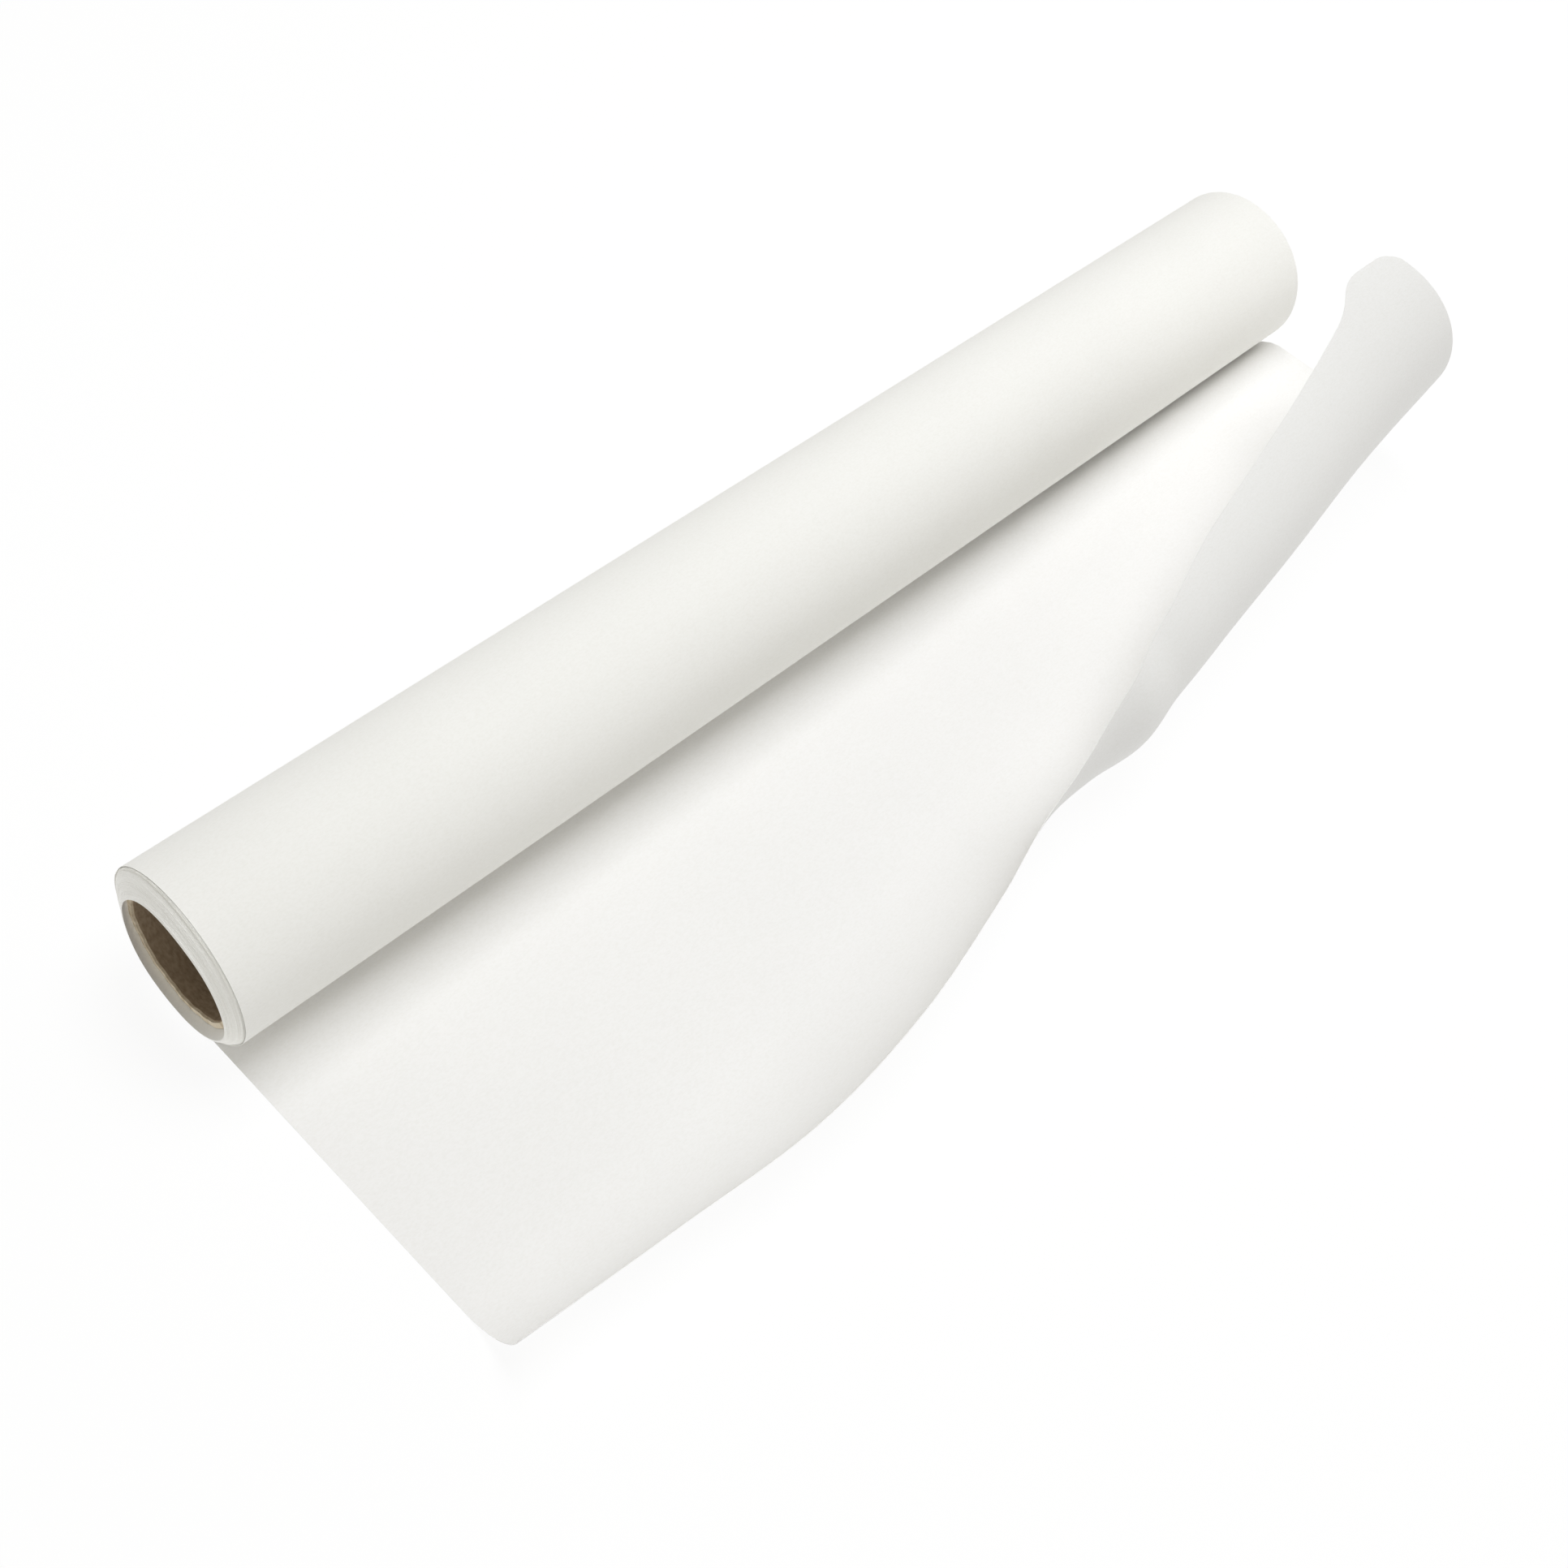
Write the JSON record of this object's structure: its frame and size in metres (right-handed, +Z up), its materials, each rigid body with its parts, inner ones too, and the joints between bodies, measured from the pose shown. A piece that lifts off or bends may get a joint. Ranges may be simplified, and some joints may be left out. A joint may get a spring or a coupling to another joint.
{
  "type": "backdrop paper roll",
  "caption": "Roll of white seamless background paper on a cardboard core, lying down, with its sheet drawn out from underneath and the free end curled up.",
  "frame": {"origin": "on the core's axis at the middle of the paper's width", "axes": "+X along the core to the right, +Y to the back, +Z up; the sheet is drawn out towards -Y and lies at Z = -0.0405 m"},
  "size_m": [0.6645, 0.2501, 0.1282],
  "materials": {
    "liner_board": "matt brown kraft liner",
    "core_board": "matt grey-brown board, wound in a spiral",
    "tape": "matt paper tape",
    "wound_paper": "matt white, stacked edges at the ends",
    "paper": "matt warm white, uncoated"
  },
  "bodies": {
    "sheet": {"curled_end": "paper", "drawn_sheet": "paper"},
    "outer_turn": {"loose_turn": "paper"},
    "roll": {"core_liner_ply": "liner_board", "core_body_plies": "core_board", "core_outer_ply": "core_board", "start_tape": "tape", "inner_turns": "wound_paper", "middle_turns": "wound_paper", "outer_turns": "wound_paper"}
  },
  "joints": [
    {"name": "roll_travel", "type": "slide", "parent": "sheet", "child": "outer_turn", "axis": [0, 1, 0], "range_m": [-0.01, 0.25], "deforming": ["drawn_sheet"]},
    {"name": "roll_spin", "type": "hinge", "parent": "outer_turn", "child": "roll", "pos_m": [0, 0, 0], "axis": [-1, 0, 0], "range_deg": [-15, 355]}
  ],
  "couplings": [
    {"joint": "roll_spin", "follows": "roll_travel", "rad_per_m": 24.691}
  ]
}
